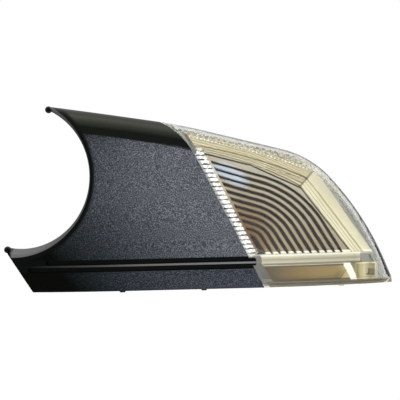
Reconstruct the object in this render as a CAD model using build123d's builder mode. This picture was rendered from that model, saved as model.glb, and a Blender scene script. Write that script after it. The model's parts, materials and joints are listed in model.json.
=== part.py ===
"""Indicator lamp and lower cover of a door mirror, in millimetres.

+X runs along the part to the lens's outer tip, +Z is up, and the outer face looks along -Y.
The origin is at the rear mouth of the main fixing boss, so the fixing plane is Y = 0.
"""

import math
import os

from build123d import *

# Overall form of the outer skin
front_depth = 44.0
shell_depth = 26.0
nose_left_x = -10.0
nose_right_x = 50.0
left_sweep_radius = 124.0
right_sweep_radius = 113.0
crown_radius = 300.0
crown_z = -8.0
roll_radius = 14.0

# Outline of the face, seen from the front
horn_top = (-55.5, 52.5)
crest = (16.0, 40.5)
shoulder = (87.4, 21.7)
lens_flank = (116.7, -10.9)
tip_foot = (133.1, -48.4)
crest_radius = 300.0
shoulder_radius = 53.0
lens_flank_radius = 165.0
tip_x = 131.6
bottom_z = tip_foot[1]
left_corner_x = -64.5
lower_horn = (-80.3, -24.4)
trim_overrun = 8.0
trim_z = 30.0

# Round notch for the mirror foot, a slightly slanted cone
notch_front_centre = (-75.2, 14.2)
notch_front_radius = 44.0
notch_rear_centre = (-73.9, 15.7)
notch_rear_radius = 37.8
notch_rear_y = 30.0

# Walls and clearances
cover_wall = 2.5
lens_wall = 2.2
case_wall = 1.8
seam_gap = 0.3
seat_gap = 0.1
loose_gap = 0.3

# Seam between the black cover and the clear lens
seam_start = (-8.2, 49.9)
seam_corner = (18.8, 35.7)
seam_foot = (60.6, -48.4)
seam_radius = 42.0
seam_overrun = 0.2
tongue_reach = 2.6
tongue_root = 2.0
tongue_lift = 0.3
tongue_margin = 1.1
tongue_radius = 1.0

# Twin groove low on the face
groove_top_z = -31.4
groove_bottom_z = -38.0
groove_ridge = 1.1
groove_depth = 1.9
upper_groove_x = -57.0
lower_groove_x = -67.0
lens_groove_bottom_z = -36.2
lens_groove_depth = 1.1
lens_groove_end_x = 112.0

# Fixing bosses, ribs and feet of the cover
fixings = [(0.0, 0.0), (-8.0, 28.5), (-42.0, -27.0)]
boss_radius = 5.0
boss_end_radius = 4.5
boss_end_length = 10.0
boss_bore_radius = 2.1
boss_bore_depth = 14.0
gusset_reach = 5.0
gusset_top_gap = 12.0
rib_thickness = 1.6
rib_height = 7.0
cover_rib_columns = [-22.0, 0.0]
cover_rib_rows = [0.0, 18.0, -20.0]
foot_width = 3.0
foot_drop = 1.4
foot_length = 4.5
foot_root = 1.5
foot_inset = 1.0
foot_round = 0.5
cover_feet = [-16.3, 28.0]
lens_feet = [103.3]

# Reflector plane, tilted to follow the sweep of the lens
field_x = 26.0
field_y = -28.0
field_tilt = 10.5
plate_thickness = 1.6

# Curved ribs of the reflector, from the outermost to the innermost
rib_count = 10
rib_corner_first = (81.6, 5.0)
rib_corner_last = (55.4, -21.4)
rib_radius_first = 57.0
rib_radius_last = 4.0
rib_left_angle = 163.0
rib_foot_angle = -59.0
rib_rise = 1.9
rib_valley_share = 0.26
rib_round = 1.0

# Outline of the ribbed field
field_top_left = (26.0, 25.3)
field_mid_left = (39.0, 4.4)
field_foot_left = (56.5, -31.0)
field_bottom_z = -31.0

# Fine flutes and the bright rim outside the ribs
flute_count = 3
flute_valley_share = 0.2
flute_rise = 1.1
hatch_round = 0.4
flute_outer = [(22.5, 29.1), (54.6, 21.6), (84.5, 10.1), (115.0, -32.0)]
flute_inner = [(25.5, 26.5), (54.6, 18.6), (81.6, 5.7), (109.6, -32.0)]
bezel_outer = [(18.5, 34.9), (54.6, 27.0), (90.0, 15.1), (120.5, -32.0)]
bezel_rise = 3.0
bezel_round = 0.5
plate_edge = 0.5
stud_share = 0.25
stud_pitch = 2.1
stud_radius = 0.5
stud_rise = 0.5

# Slanted flank along the seam and the ledge under the ribs
flank_top_n = 1.4
flank_top_y = -30.4
flank_wall = 1.2
flank_feet = [(27.0, 2.0), (-5.0, 4.2), (-36.0, 4.2)]
tooth_count = 23
tooth_pitch = 2.7
tooth_half = 1.7
tooth_first_u = -34.0
tooth_y = -29.3
tooth_near_n = 1.2
tooth_far_n = 6.0
ledge_bottom_z = -36.2
ledge_end_x = 113.0
ledge_gap = 0.6
ledge_wall = 1.2
reflector_gap = 0.4

# Lower window: flat tray, slanted partition and rounded end
tray_top_z = -37.4
tray_bottom_z = -45.2
tray_left_x = 61.5
tray_slant = 5.5
tray_front = 3.0
tray_depth = 5.0
tray_wall = 0.7
tray_side_wall = 1.6
tray_back = 13.0
partition_x = 107.4
partition_width = 3.2
cup_x = 116.0
cup_radius = 7.0
cup_lift = 2.0
cup_end_x = 123.0

# Lamp chamber behind the cover, along the seam
chamber_u = 28.3
chamber_n = 16.8
board_n = -6.0
board_length = 52.0
board_front_y = -35.2
board_rear_y = -22.0
board_thickness = 1.6
board_chamfer = 1.0
led_count = 5
led_pitch = 9.0
led_length = 3.5
led_width = 2.8
led_height = 1.9
led_window_radius = 1.1
led_window_depth = 0.3
led_y = -33.0
bar_gap = 0.2
bar_thickness = 2.5
bar_width = 4.4
rail_gap = 0.15
rail_width = 1.2
rail_reach = 2.5
rail_lead = 3.0

# Screws that hold the lamp in the cover, as u and n along and across the seam
ear_places = [(34.5, -10.0), (0.0, -22.0), (-34.5, -10.0)]
ear_roots = [(27.0, -10.0), (0.0, -16.0), (-27.0, -10.0)]
ear_radius = 4.2
ear_y = -18.0
ear_thickness = 3.5
post_radius = 3.4
pilot_radius = 1.2
pilot_spare = 1.0
screw_radius = 1.1
screw_head_radius = 2.7
screw_head_height = 1.8
screw_length = 9.0
screw_hole_radius = 1.6
screw_head_round = 0.6
drive_radius = 1.0
drive_depth = 1.3

# Prism squares inside the lens's top edge
prism_inset = 3.4
prism_shift = 1.0
prism_start = 2.0
prism_share = 0.86
prism_pitch = 3.3
prism_width = 1.9
prism_height = 2.6
prism_depth = 8.0
lens_return = 6.0
lens_edge_depth = 12.0
seam_middle_x = 36.7
case_gap = 0.6

# Parts soldered on the back of the LED board, as u along the board
resistor_size = (3.2, 1.6, 0.6)
resistor_places = [-9.5, 2.6, 13.0, 16.0, 19.0]
resistor_y = -29.0
chip_size = (5.0, 4.0, 1.5)
chip_u = -3.5
chip_y = -29.5
chip_leg_count = 4
chip_leg_pitch = 1.27
chip_leg_width = 0.5
chip_leg_reach = 0.9
chip_leg_height = 0.5
capacitor_radius = 2.0
capacitor_height = 4.5
capacitor_u = -15.0
diode_size = (4.3, 2.6, 2.2)
diode_u = -21.0
pin_size = 0.64
pin_pitch = 2.54
pin_u = 8.0
pin_solder_y = -28.0
pin_end_y = -6.0
solder_gap = 0.05

# Connector socket on the back of the case
socket_width = 12.0
socket_height = 12.0
socket_wall = 1.4
socket_end_y = -3.0
socket_radius = 1.5

# Breather, posts and seal of the case
breather_place = (74.0, 10.0)
breather_radius = 3.0
breather_cap_radius = 4.2
breather_cap_height = 1.6
breather_collar = 1.4
breather_chamfer = 0.4
reflector_posts = [(62.0, 12.0), (96.0, -12.0), (66.0, -8.0)]
tray_posts = [(74.0, -41.6), (103.0, -41.6)]
post_size = 2.4
seal_thickness = 0.8
seal_edge = 0.5
seal_width = 1.3
seal_gap = 0.05
case_lip = 3.0

# Flexible strip to the side LED, and that LED's board
strip_width = 5.0
strip_thickness = 0.4
strip_u = -23.5
strip_start_n = -5.5
strip_bend_n = 4.0
strip_turn_x = 107.0
strip_end_x = 114.5
side_z = -41.6
side_board_size = (9.0, 6.0, 1.2)
side_seat = 1.0
side_board_radius = 0.8
side_led_size = 3.0
side_led_height = 1.2

axis_y = crown_radius - front_depth
span_left = -110.0
span_right = 150.0
half_sweep = 15.0
reach = 100.0
proud = 5.0
room_depth = shell_depth + 12.0
outline_left = span_left + 20.0
face_tolerance = 0.2
edge_margin = 1.0
least_run = 0.01


def plan_front(x):
    """Y of the face along the crown's middle line."""
    if x < nose_left_x:
        run, radius = nose_left_x - x, left_sweep_radius
    elif x > nose_right_x:
        run, radius = x - nose_right_x, right_sweep_radius
    else:
        return -front_depth
    return radius - front_depth - math.sqrt(radius**2 - run**2)


def skin_y(x, z, depth=0.0):
    """Y of the face, or of a layer at some depth behind it."""
    radius = axis_y - plan_front(x) - depth
    return axis_y - math.sqrt(radius**2 - (z - crown_z) ** 2)


def extended(start, end, x):
    """Point at x on the line through start and end."""
    slope = (end[1] - start[1]) / (end[0] - start[0])
    return (x, start[1] + slope * (x - start[0]))


def plane_at(y):
    """Plane parallel to the face, with sketch x and y along X and Z."""
    return Plane.XZ.offset(-y)


def outline(inset=0.0):
    """Outline of cover and lens together, before the left end is trimmed."""
    left = extended(horn_top, crest, outline_left)
    with BuildSketch(Plane.XZ) as shape:
        with BuildLine():
            top = FilletPolyline(
                left, crest, shoulder, lens_flank, tip_foot,
                radius=[crest_radius, shoulder_radius, lens_flank_radius],
            )
            Polyline(top @ 1, (left[0], bottom_z), top @ 0)
        make_face()
        if inset:
            offset(amount=-inset, kind=Kind.INTERSECTION)
    return shape.sketch


def layer(near, far):
    """Slab between two depths behind the face, swept in plan and crowned in height."""
    tilt = math.radians(half_sweep)
    start = Plane(
        origin=(0, axis_y, crown_z), x_dir=(1, 0, 0), z_dir=(0, math.sin(tilt), math.cos(tilt))
    )
    left_mid = (span_left + nose_left_x) / 2
    right_mid = (span_right + nose_right_x) / 2
    ends = []
    with BuildPart() as slab:
        with BuildSketch(start):
            with BuildLine():
                for depth in (near, far):
                    def place(x):
                        return (x, plan_front(x) - axis_y + depth)
                    left = ThreePointArc(place(span_left), place(left_mid), place(nose_left_x))
                    Line(place(nose_left_x), place(nose_right_x))
                    right = ThreePointArc(place(nose_right_x), place(right_mid), place(span_right))
                    ends.append((left @ 0, right @ 1))
                Line(ends[0][0], ends[1][0])
                Line(ends[0][1], ends[1][1])
            make_face()
        revolve(axis=Axis((0, axis_y, crown_z), (1, 0, 0)), revolution_arc=2 * half_sweep)
    return slab.part


def prism(sketch, near, far):
    """Sketch on the face plane, carried through the layers between two depths."""
    with BuildPart() as block:
        extrude(sketch, amount=reach, both=True)
        add(layer(near, far), mode=Mode.INTERSECT)
    return block.part


def rolled_body(inset, near, far):
    """Body within the outline whose top front edge is rolled over."""
    def on_roll(edge):
        middle = edge @ 0.5
        on_face = abs(middle.Y - skin_y(middle.X, middle.Z, near)) < face_tolerance
        above = middle.Z > bottom_z + inset + edge_margin
        right_of_end = middle.X > outline_left + inset + edge_margin
        across = abs((edge @ 0).X - (edge @ 1).X) > least_run
        return on_face and above and right_of_end and across

    with BuildPart() as body:
        add(prism(outline(inset), near, far))
        fillet(body.edges().filter_by(on_roll), radius=roll_radius - inset)
    return body.part


def left_of_seam(shift=0.0, tongue=True):
    """Everything on the cover's side of the seam, with the groove's tongue."""
    direction = Vector(*seam_foot) - Vector(*seam_corner)
    below = Vector(*seam_foot) + direction * seam_overrun
    groove_middle = (groove_top_z + groove_bottom_z) / 2
    tongue_x = extended(seam_corner, seam_foot, 0)
    slope = (seam_foot[1] - seam_corner[1]) / (seam_foot[0] - seam_corner[0])
    seam_at_groove = (groove_middle - tongue_x[1]) / slope
    with BuildSketch(Plane.XZ) as side:
        with BuildLine():
            seam = FilletPolyline(seam_start, seam_corner, (below.X, below.Y), radius=seam_radius)
            Polyline(
                seam @ 1, (span_left, below.Y), (span_left, reach), (seam_start[0], reach), seam @ 0
            )
        make_face()
        if tongue:
            with Locations((seam_at_groove - tongue_root, groove_middle + tongue_lift)):
                RectangleRounded(
                    2 * (tongue_reach + tongue_root),
                    groove_top_z - groove_bottom_z - 2 * tongue_margin, tongue_radius,
                )
        if shift:
            offset(amount=shift, kind=Kind.INTERSECTION)
    return side.sketch


def notch(grow=0.0):
    """Slanted cone that clears the mirror foot."""
    with BuildPart() as cone:
        with BuildSketch(plane_at(-front_depth)):
            with Locations(notch_front_centre):
                Circle(notch_front_radius + grow)
        with BuildSketch(plane_at(notch_rear_y)):
            with Locations(notch_rear_centre):
                Circle(notch_rear_radius + grow)
        loft(ruled=True)
    return cone.part


def left_trim(grow=0.0):
    """Everything beyond the blunt upper horn and the slanted lower corner."""
    corner = (left_corner_x, bottom_z)
    high = extended(lower_horn, corner, lower_horn[0] - trim_overrun)
    low = extended(lower_horn, corner, left_corner_x + trim_overrun)
    with BuildSketch(Plane.XZ) as ends:
        with BuildLine():
            Polyline(
                (span_left, reach), (horn_top[0], reach), (horn_top[0], trim_z), (span_left, trim_z),
                close=True,
            )
        make_face()
        with BuildLine():
            Polyline(high, low, (span_left, low[1]), (span_left, high[1]), close=True)
        make_face()
        if grow:
            offset(amount=grow, kind=Kind.INTERSECTION)
    with BuildPart() as cutter:
        extrude(ends.sketch, amount=reach, both=True)
    return cutter.part


def groove_sketch(bottom, top, start_x, end_x):
    """One straight groove with a round left end."""
    radius = (top - bottom) / 2 - least_run
    with BuildSketch(Plane.XZ) as band:
        with Locations(((start_x + end_x) / 2, (bottom + top) / 2)):
            RectangleRounded(end_x - start_x, top - bottom, radius)
    return band.sketch


def foot(x):
    """Small foot under the lower edge, just inside the rear rim."""
    rear = plan_front(x) + shell_depth - foot_inset
    with BuildPart() as peg:
        with BuildSketch(plane_at(rear)):
            with Locations((x, bottom_z - foot_drop)):
                Rectangle(foot_width, foot_drop + foot_root, align=(Align.CENTER, Align.MIN))
        extrude(amount=foot_length)
        fillet(peg.edges().filter_by(Axis.Y).group_by(Axis.Z)[0], radius=foot_round)
    return peg.part


def seam_point(u, n):
    """Point at u up along the seam and n to the right of it."""
    return (
        seam_origin[0] + u * seam_up[0] + n * seam_out[0],
        seam_origin[1] + u * seam_up[1] + n * seam_out[1],
    )


def chamber(grow=0.0, right=0.0):
    """Footprint of the lamp chamber that lies under the cover beside the seam."""
    u = chamber_u + grow
    left = -chamber_n - grow
    with BuildSketch(Plane.XZ) as footprint:
        with BuildLine():
            Polyline(
                seam_point(-u, left), seam_point(-u, right), seam_point(u, right), seam_point(u, left),
                close=True,
            )
        make_face()
    return footprint.sketch


def seam_section(u):
    """Plane across the seam at u, with sketch x along n and sketch y along Y."""
    x, z = seam_point(u, 0)
    return Plane(origin=(x, 0, z), x_dir=(seam_out[0], 0, seam_out[1]), z_dir=(seam_up[0], 0, seam_up[1]))


def board_block(u, length, near_n, far_n, front_y, rear_y):
    """Block laid along the seam, between two n and two Y."""
    with BuildPart() as block:
        with BuildSketch(seam_section(u)):
            with Locations(((near_n + far_n) / 2, (front_y + rear_y) / 2)):
                Rectangle(abs(far_n - near_n), abs(rear_y - front_y))
        extrude(amount=length / 2, both=True)
    return block.part


def board_plane(u, n, y):
    """Plane parallel to the LED board, with its normal toward the lens."""
    x, z = seam_point(u, n)
    return Plane(origin=(x, y, z), x_dir=(0, 1, 0), z_dir=(seam_out[0], 0, seam_out[1]))


def skin_plane(x, z, depth):
    """Plane on a layer of the face, with its normal out of the face."""
    slope_x = (skin_y(x + 1, z) - skin_y(x - 1, z)) / 2
    slope_z = (skin_y(x, z + 1) - skin_y(x, z - 1)) / 2
    return Plane(
        origin=(x, skin_y(x, z, depth), z), x_dir=(1, slope_x, 0), z_dir=(slope_x, -1, slope_z)
    )


def gussets(x, z):
    """Four tapered fins around a fixing boss."""
    foot_half = boss_radius + gusset_reach
    points = [
        (-foot_half, -front_depth), (foot_half, -front_depth),
        (boss_radius, -gusset_top_gap), (-boss_radius, -gusset_top_gap),
    ]
    with BuildPart() as fins:
        with BuildSketch(Plane.XY.offset(z)):
            with BuildLine():
                Polyline(*[(x + across, y) for across, y in points], close=True)
            make_face()
        extrude(amount=rib_thickness / 2, both=True)
        with BuildSketch(Plane.YZ.offset(x)):
            with BuildLine():
                Polyline(*[(y, z + across) for across, y in points], close=True)
            make_face()
        extrude(amount=rib_thickness / 2, both=True)
    return fins.part


seam_length = math.hypot(seam_foot[0] - seam_corner[0], seam_foot[1] - seam_corner[1])
seam_up = (
    (seam_corner[0] - seam_foot[0]) / seam_length, (seam_corner[1] - seam_foot[1]) / seam_length
)
seam_out = (seam_up[1], -seam_up[0])
seam_origin = extended(seam_corner, seam_foot, seam_middle_x)
ears = [seam_point(u, n) for u, n in ear_places]

with BuildSketch(Plane.XZ) as lens_side:
    with Locations((20, 0)):
        Rectangle(3 * reach, 2 * reach)
    add(left_of_seam(-seam_gap / 2), mode=Mode.SUBTRACT)

# Prism squares run along the lens's top edge, a little inside its outline
with BuildLine(Plane.XZ) as prism_line:
    prism_path = FilletPolyline(
        *[(x - prism_shift, z - prism_inset) for x, z in (crest, shoulder, lens_flank)],
        radius=shoulder_radius,
    )
prism_places = []
prism_count = int(prism_path.length * prism_share / prism_pitch)
for index in range(prism_count):
    share = (prism_start + index * prism_pitch) / prism_path.length
    point = prism_path @ share
    tangent = prism_path % share
    prism_places.append(((point.X, point.Z), math.degrees(math.atan2(tangent.Z, tangent.X))))


def on_field(point):
    """Place on the tilted reflector plane of a point seen from the front."""
    return ((point[0] - field_x) / math.cos(math.radians(field_tilt)), point[1])


def mixed(first, last, share):
    """Value or point part of the way from first to last."""
    if isinstance(first, tuple):
        return tuple(mixed(a, b, share) for a, b in zip(first, last))
    return first + (last - first) * share


def rib_line(index):
    """Bent edge line of a rib: left leg, rounded corner and foot."""
    share = index / rib_count
    corner = mixed(rib_corner_first, rib_corner_last, share)
    radius = mixed(rib_radius_first, rib_radius_last, share)
    ends = []
    for angle in (rib_left_angle, rib_foot_angle):
        turn = math.radians(angle)
        ends.append((corner[0] + reach * math.cos(turn), corner[1] + reach * math.sin(turn)))
    return [ends[0], corner, ends[1], radius]


def flute_line(index):
    """Edge line of a fine flute: a shallow arc, a mitred corner and a straight foot."""
    share = index / flute_count
    return [mixed(a, b, share) for a, b in zip(flute_outer, flute_inner)]


def draw(line):
    """Draw one edge line on the reflector plane, and return its two ends."""
    if isinstance(line[3], tuple):
        arc = ThreePointArc(*[on_field(point) for point in line[:3]])
        foot_end = Line(arc @ 1, on_field(line[3]))
        return arc @ 0, foot_end @ 1
    bend = FilletPolyline(*[on_field(point) for point in line[:3]], radius=line[3])
    return bend @ 0, bend @ 1


def rib(outer, inner, rise, rounding=0.0):
    """Ridge between two edge lines, clipped to the field, with shoulders rounded if asked."""
    with BuildPart() as ridge:
        with BuildSketch(field_plane):
            with BuildLine():
                outer_start, outer_end = draw(outer)
                inner_start, inner_end = draw(inner)
                Line(outer_start, inner_start)
                Line(outer_end, inner_end)
            make_face()
            with BuildLine():
                Polyline(*[on_field(point) for point in field_points], close=True)
            make_face(mode=Mode.INTERSECT)
        extrude(amount=rise)
        if rounding:
            fillet(ridge.faces().sort_by(ridge_axis)[-1].edges(), radius=rounding)
    return ridge.part


tilt = math.radians(field_tilt)
field_plane = Plane(
    origin=(field_x, field_y, 0),
    x_dir=(math.cos(tilt), math.sin(tilt), 0),
    z_dir=(math.sin(tilt), -math.cos(tilt), 0),
)
ridge_axis = Axis(field_plane.origin, field_plane.z_dir)
field_points = [
    (seam_start[0], reach), seam_start, field_top_left, field_mid_left,
    field_foot_left, (reach * 1.5, field_bottom_z), (reach * 1.5, reach),
]

outer_skin = rolled_body(0, 0, shell_depth)
groove_width = (groove_top_z - groove_bottom_z - groove_ridge) / 2

with BuildPart() as beyond_tip:
    with BuildSketch(Plane.XZ):
        with Locations((tip_x, 0)):
            Rectangle(reach, 2 * reach, align=(Align.MIN, Align.CENTER))
    extrude(amount=reach, both=True)

os.makedirs("parts", exist_ok=True)

# Black cover: rolled shell with its notch, grooves, bosses and ribs
with BuildPart() as cover_room:
    add(rolled_body(cover_wall, cover_wall, room_depth))
    add(notch(cover_wall), mode=Mode.SUBTRACT)
    add(left_trim(cover_wall), mode=Mode.SUBTRACT)
    add(
        prism(
            groove_sketch(
                groove_bottom_z - cover_wall, groove_top_z + cover_wall,
                lower_groove_x - cover_wall, reach,
            ),
            cover_wall / 2, cover_wall + groove_depth,
        ),
        mode=Mode.SUBTRACT,
    )

with BuildSketch(Plane.XZ) as rib_lines:
    for x in cover_rib_columns:
        with Locations((x, 0)):
            Rectangle(rib_thickness, 2 * reach)
    for z in cover_rib_rows:
        with Locations((0, z)):
            Rectangle(2 * reach, rib_thickness)

with BuildPart() as cover_ribs:
    add(prism(rib_lines.sketch, cover_wall / 2, cover_wall + rib_height))
    add(outer_skin, mode=Mode.INTERSECT)
    add(prism(chamber(case_gap), cover_wall / 2, reach / 2), mode=Mode.SUBTRACT)
    with BuildSketch(Plane.XZ):
        add(left_of_seam(-case_wall - case_gap, tongue=False))
    extrude(amount=reach, both=True, mode=Mode.INTERSECT)

with BuildPart() as cover_bosses:
    with BuildSketch(plane_at(0)):
        with Locations(*fixings):
            Circle(boss_end_radius)
    extrude(amount=front_depth)
    with BuildSketch(plane_at(-boss_end_length)):
        with Locations(*fixings):
            Circle(boss_radius)
    extrude(amount=front_depth)
    for x, z in fixings:
        add(gussets(x, z))
    with BuildSketch(plane_at(ear_y - seat_gap)):
        with Locations(*ears):
            Circle(post_radius)
    extrude(amount=front_depth)
    add(layer(cover_wall / 2, reach / 2), mode=Mode.INTERSECT)

with BuildPart() as cover:
    add(outer_skin)
    add(cover_room.part, mode=Mode.SUBTRACT)
    add(prism(lens_side.sketch, -proud, reach / 2), mode=Mode.SUBTRACT)
    add(cover_ribs.part)
    add(cover_bosses.part)
    add(notch(), mode=Mode.SUBTRACT)
    add(left_trim(), mode=Mode.SUBTRACT)
    for bottom, start_x in (
        (groove_bottom_z, lower_groove_x), (groove_top_z - groove_width, upper_groove_x)
    ):
        add(
            prism(groove_sketch(bottom, bottom + groove_width, start_x, reach), -proud, groove_depth),
            mode=Mode.SUBTRACT,
        )
    for x in cover_feet:
        add(foot(x))
    with BuildSketch(plane_at(0)):
        with Locations(*fixings):
            Circle(boss_bore_radius)
    extrude(amount=boss_bore_depth, mode=Mode.SUBTRACT)
    with BuildSketch(plane_at(ear_y)):
        with Locations(*ears):
            Circle(pilot_radius)
    extrude(amount=screw_length + pilot_spare, mode=Mode.SUBTRACT)

# Clear lens: the other end of the same rolled shell, with a short return wall at the seam
with BuildPart() as lens_room:
    add(rolled_body(lens_wall, lens_wall, room_depth))
    add(prism(left_of_seam(seam_gap / 2 + lens_wall), -proud, lens_return), mode=Mode.SUBTRACT)
    with BuildSketch(Plane.XZ):
        with Locations((tip_x - lens_wall, 0)):
            Rectangle(reach, 2 * reach, align=(Align.MIN, Align.CENTER))
    extrude(amount=reach, both=True, mode=Mode.SUBTRACT)

with BuildPart() as lens_prisms:
    with BuildSketch(Plane.XZ):
        for place, angle in prism_places:
            with Locations(Location((place[0], place[1], 0), (0, 0, angle))):
                Rectangle(prism_width, prism_height)
    extrude(amount=reach, both=True)
    add(rolled_body(lens_wall / 2, lens_wall / 2, shell_depth), mode=Mode.INTERSECT)
    add(layer(0, prism_depth), mode=Mode.INTERSECT)

with BuildPart() as lens:
    add(outer_skin)
    add(lens_room.part, mode=Mode.SUBTRACT)
    add(lens_prisms.part)
    add(
        prism(left_of_seam(seam_gap / 2 + lens_wall), lens_edge_depth, reach / 2),
        mode=Mode.SUBTRACT,
    )
    with BuildSketch(Plane.XZ):
        add(left_of_seam(seam_gap / 2))
    extrude(amount=reach, both=True, mode=Mode.SUBTRACT)
    add(beyond_tip.part, mode=Mode.SUBTRACT)
    add(
        prism(
            groove_sketch(lens_groove_bottom_z, groove_top_z, 0, lens_groove_end_x),
            -proud, lens_groove_depth,
        ),
        mode=Mode.SUBTRACT,
    )
    for x in lens_feet:
        add(foot(x))

# Reflector behind the lens: ribbed plate, fine flutes, bright rim, slanted flank and ledge
lamp_room = rolled_body(lens_wall + reflector_gap, lens_wall + reflector_gap, shell_depth + proud)

# Row of fine studs along the bright rim, placed on the reflector plane
with BuildLine() as stud_line:
    stud_arc = ThreePointArc(
        *[on_field(mixed(a, b, stud_share)) for a, b in zip(bezel_outer[:3], flute_outer[:3])]
    )
stud_count = int(stud_arc.length / stud_pitch) - 1
stud_spots = [
    stud_arc @ ((index + 1) * stud_pitch / stud_arc.length) for index in range(stud_count)
]

# Row of bright teeth along the seam flank
with BuildPart() as seam_teeth:
    for index in range(tooth_count):
        with BuildSketch(board_plane(tooth_first_u + index * tooth_pitch, tooth_near_n, tooth_y)):
            RegularPolygon(tooth_half, 4)
    extrude(amount=tooth_far_n - tooth_near_n)

with BuildSketch(Plane.XZ) as plate_outline:
    with BuildLine():
        edge = [(x + plate_edge, z + plate_edge) for x, z in bezel_outer]
        ThreePointArc(*edge[:3])
        Polyline(
            edge[2], edge[3], (edge[3][0], field_bottom_z - ledge_wall),
            (0, field_bottom_z - ledge_wall), (0, edge[0][1]), edge[0],
        )
    make_face()
    add(left_of_seam(flank_top_n, tongue=False), mode=Mode.SUBTRACT)

with BuildPart() as seam_flank:
    for u, foot_n in flank_feet:
        foot_y = field_y + (seam_point(u, foot_n)[0] - field_x) * math.tan(tilt)
        with BuildSketch(seam_section(u)):
            with BuildLine():
                Polyline(
                    (flank_top_n, flank_top_y), (foot_n, foot_y),
                    (foot_n, foot_y + plate_thickness),
                    (flank_top_n - flank_wall, flank_top_y + flank_wall), close=True,
                )
            make_face()
    loft(ruled=True)

with BuildSketch(Plane.XZ) as ledge_area:
    with Locations((0, ledge_bottom_z)):
        Rectangle(ledge_end_x, field_bottom_z - ledge_bottom_z, align=Align.MIN)
    add(left_of_seam(seam_gap / 2 + lens_wall + reflector_gap), mode=Mode.SUBTRACT)

with BuildSketch(Plane.XZ) as ledge_hollow:
    with Locations((0, ledge_bottom_z + ledge_wall)):
        Rectangle(
            ledge_end_x - ledge_wall, field_bottom_z - ledge_bottom_z - 2 * ledge_wall,
            align=Align.MIN,
        )

with BuildPart() as ledge:
    ledge_front = lens_wall + ledge_gap
    add(prism(ledge_area.sketch, ledge_front, reach / 2))
    add(prism(ledge_hollow.sketch, ledge_front + ledge_wall, reach / 2), mode=Mode.SUBTRACT)
    with BuildSketch(field_plane.offset(-plate_thickness)):
        Rectangle(4 * reach, 4 * reach)
    extrude(amount=reach, mode=Mode.INTERSECT)

with BuildPart() as rib_reflector:
    extrude(plate_outline.sketch, amount=reach, both=True)
    with BuildSketch(field_plane):
        Rectangle(4 * reach, 4 * reach)
    extrude(amount=-plate_thickness, mode=Mode.INTERSECT)
    for index in range(rib_count):
        outer, inner = index + rib_valley_share / 2, index + 1 - rib_valley_share / 2
        add(rib(rib_line(outer), rib_line(inner), rib_rise, rib_round))
    inmost_flute = flute_line(flute_count + flute_valley_share)
    add(rib(inmost_flute, rib_line(-rib_valley_share / 2), rib_rise, hatch_round))
    for index in range(flute_count):
        outer, inner = index + flute_valley_share / 2, index + 1 - flute_valley_share / 2
        add(rib(flute_line(outer), flute_line(inner), flute_rise))
    add(rib(bezel_outer, flute_line(-flute_valley_share), bezel_rise, bezel_round))
    with BuildSketch(field_plane.offset(bezel_rise)):
        with Locations(*stud_spots):
            RegularPolygon(stud_radius, 6)
    extrude(amount=stud_rise)
    add(seam_flank.part)
    add(seam_teeth.part)
    add(ledge.part)
    add(lamp_room, mode=Mode.INTERSECT)

# Lower reflector: slanted tray, partition and rounded cup with its own LED
tray_outer_top = ledge_bottom_z - reflector_gap
tray_outer_bottom = tray_bottom_z - tray_wall
side_seat_plane = skin_plane(cup_x, side_z, tray_back - side_seat)
cup_centre = skin_plane(cup_x, side_z, tray_front).offset(cup_lift).origin

with BuildSketch(Plane.XZ) as tray_area:
    with BuildLine():
        Polyline(
            (tray_left_x - tray_side_wall, tray_outer_top), (cup_end_x, tray_outer_top),
            (cup_end_x, tray_outer_bottom),
            (tray_left_x + tray_slant - tray_side_wall, tray_outer_bottom), close=True,
        )
    make_face()

with BuildSketch(Plane.XZ) as tray_pocket:
    with BuildLine():
        Polyline(
            (tray_left_x, tray_top_z), (partition_x, tray_top_z),
            (partition_x - tray_slant, tray_bottom_z), (tray_left_x + tray_slant, tray_bottom_z),
            close=True,
        )
    make_face()

with BuildPart() as lower_reflector:
    add(prism(tray_area.sketch, tray_front, tray_back))
    add(prism(tray_pocket.sketch, -proud, tray_front + tray_depth), mode=Mode.SUBTRACT)
    with BuildSketch(Plane.XY.offset(tray_bottom_z)):
        with Locations((cup_centre.X, cup_centre.Y)):
            Circle(cup_radius)
    extrude(amount=tray_top_z - tray_bottom_z, mode=Mode.SUBTRACT)
    with BuildSketch(side_seat_plane):
        Rectangle(side_board_size[0] + 2 * loose_gap, side_board_size[1] + 2 * loose_gap)
    extrude(amount=-reach / 2, mode=Mode.SUBTRACT)
    with BuildSketch(side_seat_plane):
        Rectangle(side_led_size + 2 * loose_gap, side_led_size + 2 * loose_gap)
    extrude(amount=cup_radius, mode=Mode.SUBTRACT)
    add(lamp_room, mode=Mode.INTERSECT)

# Rear case: chamber along the seam, skirt inside the lens and the rear panel
case_front = cover_wall + groove_depth + case_gap
panel_front = shell_depth + seal_thickness
panel_rear = panel_front + case_wall
skirt_inset = lens_wall + seat_gap
skirt_front = shell_depth - case_lip
board_back_n = board_n - board_thickness
pin_n = board_back_n - solder_gap - pin_size / 2
pins = [pin_u + side * pin_pitch / 2 for side in (-1, 1)]
socket_x, socket_z = seam_point(pin_u, pin_n)
socket_root_y = skin_y(socket_x, socket_z, panel_rear)
socket_depth = socket_end_y - socket_root_y
bar_n = board_n + led_height + bar_gap

with BuildSketch(Plane.XZ) as skirt_area:
    add(outline(skirt_inset))
    add(left_of_seam(tongue=False), mode=Mode.SUBTRACT)
    with Locations((tip_x - skirt_inset, 0)):
        Rectangle(reach, 2 * reach, align=(Align.MIN, Align.CENTER), mode=Mode.SUBTRACT)

with BuildSketch(Plane.XZ) as hollow_area:
    add(outline(skirt_inset + case_wall))
    add(left_of_seam(tongue=False), mode=Mode.SUBTRACT)
    with Locations((tip_x - skirt_inset - case_wall, 0)):
        Rectangle(reach, 2 * reach, align=(Align.MIN, Align.CENTER), mode=Mode.SUBTRACT)

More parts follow.
